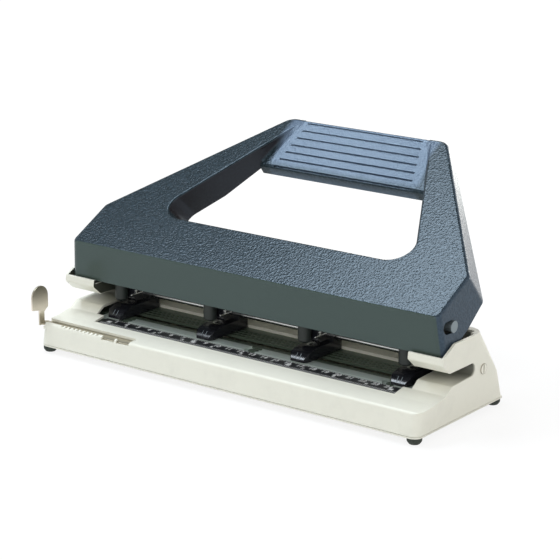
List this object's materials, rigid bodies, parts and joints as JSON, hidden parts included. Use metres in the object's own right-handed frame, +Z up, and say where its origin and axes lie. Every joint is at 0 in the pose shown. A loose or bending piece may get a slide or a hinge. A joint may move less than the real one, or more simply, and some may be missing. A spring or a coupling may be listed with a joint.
{
  "type": "paper punch",
  "caption": "Desktop manual hole punch with a long pressed base, sliding punch heads on a rail, a wide hand lever with a trapezoid opening, a paper stop and a chip tray.",
  "frame": {"origin": "middle of the base's footprint on the surface that the feet stand on", "axes": "+X along the machine to its right end seen from the front, +Y from the paper side to the back, +Z up"},
  "size_m": [0.3202, 0.1821, 0.1503],
  "materials": {
    "cream_paint": "satin cream enamel on pressed steel",
    "lever_paint": "fine-grained dark blue-black paint",
    "rail_grey": "dark grey-green sheet",
    "polished_bar": "polished",
    "scale_black": "matt black with white marks",
    "head_black": "black enamel on the cast frames",
    "bright_steel": "bright steel",
    "spring_steel": "spring wire",
    "tray_cream": "matt cream plastic",
    "foot_rubber": "black rubber"
  },
  "bodies": {
    "base": {"base_cover": "cream_paint", "rail_bed": "rail_grey", "slide_bar": "polished_bar", "rail_screw_left": "rail_grey", "rail_screw_middle": "rail_grey", "rail_screw_right": "rail_grey", "scale_strip": "scale_black", "lever_axle": "bright_steel", "guide_rod": "bright_steel", "end_plate_left": "rail_grey", "end_plate_right": "rail_grey", "side_screw_left": "cream_paint", "side_screw_right": "cream_paint"},
    "lever": {"lever_shell": "lever_paint", "hinge_plate_left": "rail_grey", "hinge_plate_right": "rail_grey", "press_bar": "rail_grey"},
    "paper_stop": {"paper_guide": "bright_steel"},
    "tray": {"chip_tray": "tray_cream", "foot_front_left": "foot_rubber", "foot_front_right": "foot_rubber", "foot_back_left": "foot_rubber", "foot_back_right": "foot_rubber"},
    "head_1": {"head_1_frame": "head_black", "head_1_knob": "head_black", "head_1_die": "bright_steel", "head_1_clip": "bright_steel", "head_1_spring": "spring_steel"},
    "pin_1": {"head_1_pin": "bright_steel"},
    "head_2": {"head_2_frame": "head_black", "head_2_knob": "head_black", "head_2_die": "bright_steel", "head_2_clip": "bright_steel", "head_2_spring": "spring_steel"},
    "pin_2": {"head_2_pin": "bright_steel"},
    "head_3": {"head_3_frame": "head_black", "head_3_knob": "head_black", "head_3_die": "bright_steel", "head_3_clip": "bright_steel", "head_3_spring": "spring_steel"},
    "pin_3": {"head_3_pin": "bright_steel"},
    "head_4": {"head_4_frame": "head_black", "head_4_knob": "head_black", "head_4_die": "bright_steel", "head_4_clip": "bright_steel", "head_4_spring": "spring_steel"},
    "pin_4": {"head_4_pin": "bright_steel"}
  },
  "joints": [
    {"name": "lever_hinge", "type": "hinge", "parent": "base", "child": "lever", "pos_m": [0, -0.0075, 0.0665], "axis": [-1, 0, 0], "range_deg": [0, 25.5], "stiffness_Nm_per_rad": 1.2, "springref_deg": -45.84},
    {"name": "head_1_slide", "type": "slide", "parent": "base", "child": "head_1", "axis": [1, 0, 0], "range_m": [-0.002, 0.02]},
    {"name": "head_2_slide", "type": "slide", "parent": "base", "child": "head_2", "axis": [1, 0, 0], "range_m": [-0.015, 0.015]},
    {"name": "head_3_slide", "type": "slide", "parent": "base", "child": "head_3", "axis": [1, 0, 0], "range_m": [-0.015, 0.015]},
    {"name": "head_4_slide", "type": "slide", "parent": "base", "child": "head_4", "axis": [1, 0, 0], "range_m": [-0.02, 0.002]},
    {"name": "pin_1_stroke", "type": "slide", "parent": "head_1", "child": "pin_1", "axis": [0, 0, -1], "range_m": [0, 0.0046], "deforming": ["head_1_spring"]},
    {"name": "pin_2_stroke", "type": "slide", "parent": "head_2", "child": "pin_2", "axis": [0, 0, -1], "range_m": [0, 0.0046], "deforming": ["head_2_spring"]},
    {"name": "pin_3_stroke", "type": "slide", "parent": "head_3", "child": "pin_3", "axis": [0, 0, -1], "range_m": [0, 0.0046], "deforming": ["head_3_spring"]},
    {"name": "pin_4_stroke", "type": "slide", "parent": "head_4", "child": "pin_4", "axis": [0, 0, -1], "range_m": [0, 0.0046], "deforming": ["head_4_spring"]},
    {"name": "guide_slide", "type": "slide", "parent": "base", "child": "paper_stop", "axis": [-1, 0, 0], "range_m": [0, 0.055]},
    {"name": "tray_hinge", "type": "hinge", "parent": "base", "child": "tray", "pos_m": [0, 0.0515, 0.00565], "axis": [1, 0, 0], "range_deg": [0, 75]}
  ],
  "couplings": [
    {"joint": "pin_1_stroke", "follows": "lever_hinge", "m_per_rad": 0.01031},
    {"joint": "pin_2_stroke", "follows": "lever_hinge", "m_per_rad": 0.01031},
    {"joint": "pin_3_stroke", "follows": "lever_hinge", "m_per_rad": 0.01031},
    {"joint": "pin_4_stroke", "follows": "lever_hinge", "m_per_rad": 0.01031}
  ]
}
